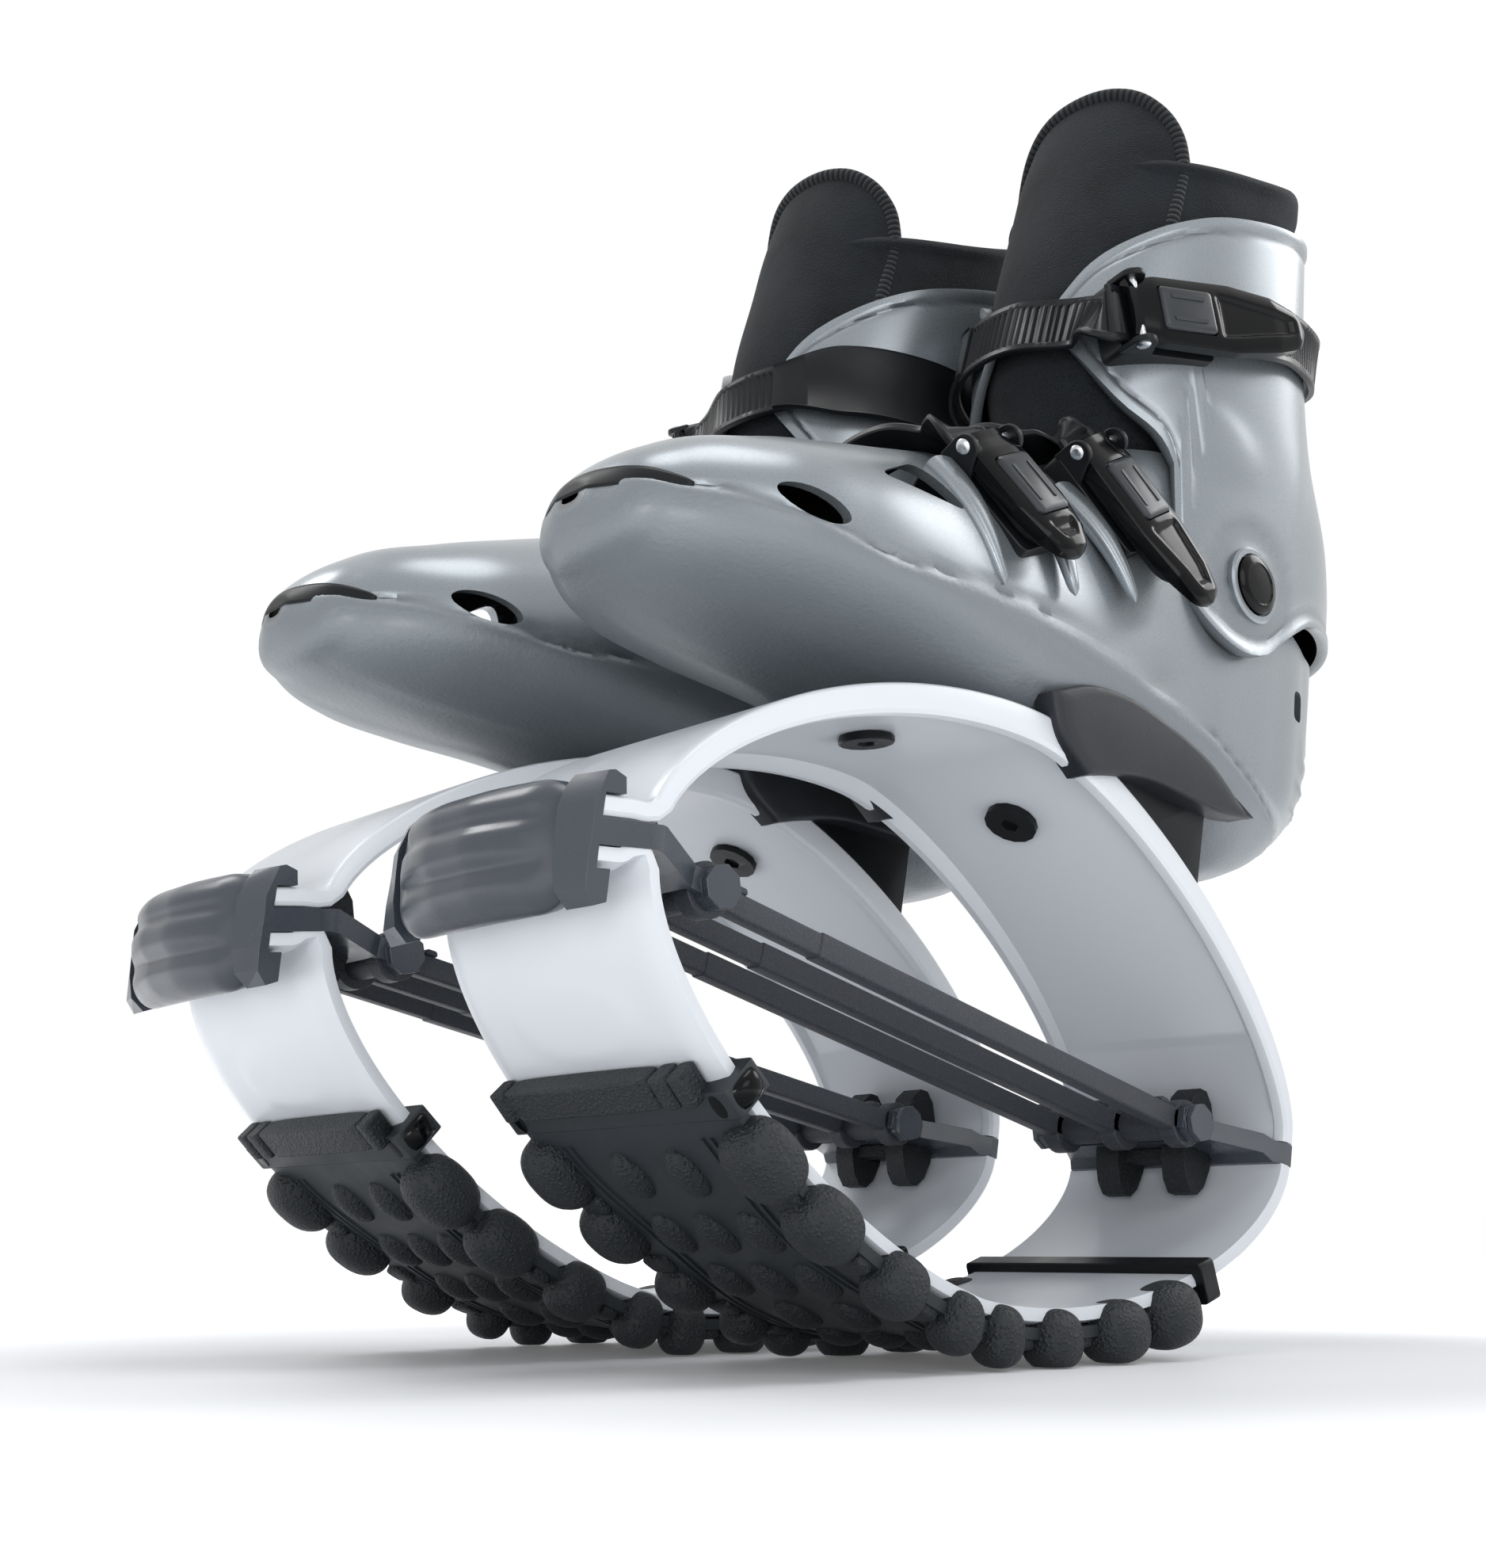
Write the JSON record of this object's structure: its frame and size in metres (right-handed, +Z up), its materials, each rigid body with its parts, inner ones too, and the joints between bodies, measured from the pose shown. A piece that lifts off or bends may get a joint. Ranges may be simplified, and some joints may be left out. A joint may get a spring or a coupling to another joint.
{
  "type": "jumping shoes",
  "caption": "Pair of rebound boots with buckled silver shells on oval plastic arc springs, elastic cross straps and lugged rocker treads.",
  "frame": {"origin": "centre of the pair's bounding box at floor level", "axes": "+X towards the toes, +Y towards the left shoe's outer side, +Z up"},
  "size_m": [0.39, 0.2388, 0.4447],
  "materials": {
    "silver_shell": "satin silver-grey moulded plastic",
    "white_shell": "semi-gloss white moulded plastic",
    "grey_plastic": "satin dark grey moulded plastic",
    "black_plastic": "gloss black moulded plastic",
    "dark_rubber": "grained dark grey rubber",
    "liner_cloth": "fine knit over foam"
  },
  "bodies": {
    "left_spring_base": {"left_lower_shell": "white_shell", "left_tread": "dark_rubber"},
    "left_boot": {"left_upper_shell": "white_shell", "left_front_bolt": "black_plastic", "left_rear_bolt": "black_plastic", "left_heel_pad": "dark_rubber", "left_foot_shell": "silver_shell", "left_outer_rivet": "black_plastic", "left_inner_rivet": "black_plastic", "left_liner": "liner_cloth", "left_instep_straps": "black_plastic", "left_instep_buckle_frame": "black_plastic"},
    "left_front_hinge": {"left_front_holder": "grey_plastic", "left_front_pin": "grey_plastic", "left_front_bumpers": "dark_rubber"},
    "left_rear_hinge": {"left_rear_holder": "grey_plastic", "left_rear_pin": "grey_plastic", "left_rear_bumpers": "dark_rubber", "left_tension_straps": "dark_rubber"},
    "left_front_cover": {"left_front_cap": "grey_plastic"},
    "left_rear_cover": {"left_rear_cap": "grey_plastic"},
    "left_shin_cuff": {"left_cuff": "silver_shell", "left_shin_strap": "black_plastic", "left_shin_buckle_base": "black_plastic"},
    "left_shin_lever": {"left_shin_buckle_lever": "black_plastic"},
    "left_shin_button": {"left_shin_buckle_button": "grey_plastic"},
    "left_ankle_lever": {"left_ankle_buckle_lever": "black_plastic"},
    "left_ankle_button": {"left_ankle_buckle_button": "grey_plastic"},
    "left_toe_lever": {"left_toe_buckle_lever": "black_plastic"},
    "left_toe_button": {"left_toe_buckle_button": "grey_plastic"},
    "right_spring_base": {"right_lower_shell": "white_shell", "right_tread": "dark_rubber"},
    "right_boot": {"right_upper_shell": "white_shell", "right_front_bolt": "black_plastic", "right_rear_bolt": "black_plastic", "right_heel_pad": "dark_rubber", "right_foot_shell": "silver_shell", "right_outer_rivet": "black_plastic", "right_inner_rivet": "black_plastic", "right_liner": "liner_cloth", "right_instep_straps": "black_plastic", "right_instep_buckle_frame": "black_plastic"},
    "right_front_hinge": {"right_front_holder": "grey_plastic", "right_front_pin": "grey_plastic", "right_front_bumpers": "dark_rubber"},
    "right_rear_hinge": {"right_rear_holder": "grey_plastic", "right_rear_pin": "grey_plastic", "right_rear_bumpers": "dark_rubber", "right_tension_straps": "dark_rubber"},
    "right_front_cover": {"right_front_cap": "grey_plastic"},
    "right_rear_cover": {"right_rear_cap": "grey_plastic"},
    "right_shin_cuff": {"right_cuff": "silver_shell", "right_shin_strap": "black_plastic", "right_shin_buckle_base": "black_plastic"},
    "right_shin_lever": {"right_shin_buckle_lever": "black_plastic"},
    "right_shin_button": {"right_shin_buckle_button": "grey_plastic"},
    "right_ankle_lever": {"right_ankle_buckle_lever": "black_plastic"},
    "right_ankle_button": {"right_ankle_buckle_button": "grey_plastic"},
    "right_toe_lever": {"right_toe_buckle_lever": "black_plastic"},
    "right_toe_button": {"right_toe_buckle_button": "grey_plastic"}
  },
  "joints": [
    {"name": "left_bounce", "type": "slide", "parent": "left_spring_base", "child": "left_boot", "axis": [0.2419, 0, -0.9703], "range_m": [0, 0.04], "stiffness_N_per_m": 17000, "deforming": ["left_upper_shell", "left_lower_shell", "left_tread", "left_tension_straps"]},
    {"name": "left_front_hinge_spread", "type": "slide", "parent": "left_spring_base", "child": "left_front_hinge", "axis": [0.7067, 0, -0.7076], "range_m": [0, 0.02332]},
    {"name": "left_front_cover_spread", "type": "slide", "parent": "left_boot", "child": "left_front_cover", "axis": [0.2918, 0, 0.9565], "range_m": [0, 0.02332]},
    {"name": "left_rear_hinge_spread", "type": "slide", "parent": "left_spring_base", "child": "left_rear_hinge", "axis": [-0.2918, 0, -0.9565], "range_m": [0, 0.02332]},
    {"name": "left_rear_cover_spread", "type": "slide", "parent": "left_boot", "child": "left_rear_cover", "axis": [-0.7067, 0, 0.7076], "range_m": [0, 0.02332]},
    {"name": "left_cuff_flex", "type": "hinge", "parent": "left_boot", "child": "left_shin_cuff", "pos_m": [-0.10755, 0.05424, 0.24645], "axis": [0, 1, 0], "range_deg": [-4, 8], "stiffness_Nm_per_rad": 60, "deforming": ["left_liner"]},
    {"name": "left_shin_lever_swing", "type": "hinge", "parent": "left_shin_cuff", "child": "left_shin_lever", "pos_m": [-0.05203, 0.09944, 0.32925], "axis": [-0.0939, 0.0862, -0.9918], "range_deg": [0, 75]},
    {"name": "left_shin_button_press", "type": "slide", "parent": "left_shin_lever", "child": "left_shin_button", "axis": [-0.2676, -0.9618, -0.0583], "range_m": [0, 0.0012], "stiffness_N_per_m": 400},
    {"name": "left_ankle_lever_swing", "type": "hinge", "parent": "left_boot", "child": "left_ankle_lever", "pos_m": [-0.0382, 0.09118, 0.27985], "axis": [0.8833, 0.0552, -0.4656], "range_deg": [0, 75]},
    {"name": "left_ankle_button_press", "type": "slide", "parent": "left_ankle_lever", "child": "left_ankle_button", "axis": [-0.1113, -0.94, -0.3225], "range_m": [0, 0.0012], "stiffness_N_per_m": 400},
    {"name": "left_toe_lever_swing", "type": "hinge", "parent": "left_boot", "child": "left_toe_lever", "pos_m": [0.01799, 0.09326, 0.26412], "axis": [0.9075, 0.0481, -0.4172], "range_deg": [0, 75]},
    {"name": "left_toe_button_press", "type": "slide", "parent": "left_toe_lever", "child": "left_toe_button", "axis": [-0.1382, -0.9039, -0.4048], "range_m": [0, 0.0012], "stiffness_N_per_m": 400},
    {"name": "right_shoe_lift", "type": "slide", "parent": "left_spring_base", "child": "right_spring_base", "axis": [0, 0, 1], "range_m": [0, 0.15]},
    {"name": "right_bounce", "type": "slide", "parent": "right_spring_base", "child": "right_boot", "axis": [0.1941, -0.0076, -0.981], "range_m": [0, 0.04], "stiffness_N_per_m": 17000, "deforming": ["right_upper_shell", "right_lower_shell", "right_tread", "right_tension_straps"]},
    {"name": "right_front_hinge_spread", "type": "slide", "parent": "right_spring_base", "child": "right_front_hinge", "axis": [0.6707, -0.0264, -0.7412], "range_m": [0, 0.02332]},
    {"name": "right_front_cover_spread", "type": "slide", "parent": "right_boot", "child": "right_front_cover", "axis": [0.3379, -0.0133, 0.9411], "range_m": [0, 0.02332]},
    {"name": "right_rear_hinge_spread", "type": "slide", "parent": "right_spring_base", "child": "right_rear_hinge", "axis": [-0.3379, 0.0133, -0.9411], "range_m": [0, 0.02332]},
    {"name": "right_rear_cover_spread", "type": "slide", "parent": "right_boot", "child": "right_rear_cover", "axis": [-0.6707, 0.0264, 0.7412], "range_m": [0, 0.02332]},
    {"name": "right_cuff_flex", "type": "hinge", "parent": "right_boot", "child": "right_shin_cuff", "pos_m": [-0.08535, -0.0547, 0.25166], "axis": [0.0393, 0.9992, 0], "range_deg": [-4, 8], "stiffness_Nm_per_rad": 60, "deforming": ["right_liner"]},
    {"name": "right_shin_lever_swing", "type": "hinge", "parent": "right_shin_cuff", "child": "right_shin_lever", "pos_m": [-0.02767, -0.1022, 0.33165], "axis": [0.1456, 0.0806, 0.9861], "range_deg": [0, 75]},
    {"name": "right_shin_button_press", "type": "slide", "parent": "right_shin_lever", "child": "right_shin_button", "axis": [-0.2322, 0.9716, -0.0451], "range_m": [0, 0.0012], "stiffness_N_per_m": 400},
    {"name": "right_ankle_lever_swing", "type": "hinge", "parent": "right_boot", "child": "right_ankle_lever", "pos_m": [-0.01597, -0.0944, 0.28163], "axis": [-0.8566, 0.0889, 0.5082], "range_deg": [0, 75]},
    {"name": "right_ankle_button_press", "type": "slide", "parent": "right_ankle_lever", "child": "right_ankle_button", "axis": [-0.0899, 0.9443, -0.3167], "range_m": [0, 0.0012], "stiffness_N_per_m": 400},
    {"name": "right_toe_lever_swing", "type": "hinge", "parent": "right_boot", "child": "right_toe_lever", "pos_m": [0.03927, -0.09865, 0.26318], "axis": [-0.8835, 0.0829, 0.4611], "range_deg": [0, 75]},
    {"name": "right_toe_button_press", "type": "slide", "parent": "right_toe_lever", "child": "right_toe_button", "axis": [-0.1222, 0.9094, -0.3976], "range_m": [0, 0.0012], "stiffness_N_per_m": 400}
  ],
  "couplings": [
    {"joint": "left_front_hinge_spread", "follows": "left_bounce", "ratio": 0.5831},
    {"joint": "left_front_cover_spread", "follows": "left_bounce", "ratio": 0.5831},
    {"joint": "left_rear_hinge_spread", "follows": "left_bounce", "ratio": 0.5831},
    {"joint": "left_rear_cover_spread", "follows": "left_bounce", "ratio": 0.5831},
    {"joint": "right_front_hinge_spread", "follows": "right_bounce", "ratio": 0.5831},
    {"joint": "right_front_cover_spread", "follows": "right_bounce", "ratio": 0.5831},
    {"joint": "right_rear_hinge_spread", "follows": "right_bounce", "ratio": 0.5831},
    {"joint": "right_rear_cover_spread", "follows": "right_bounce", "ratio": 0.5831}
  ]
}
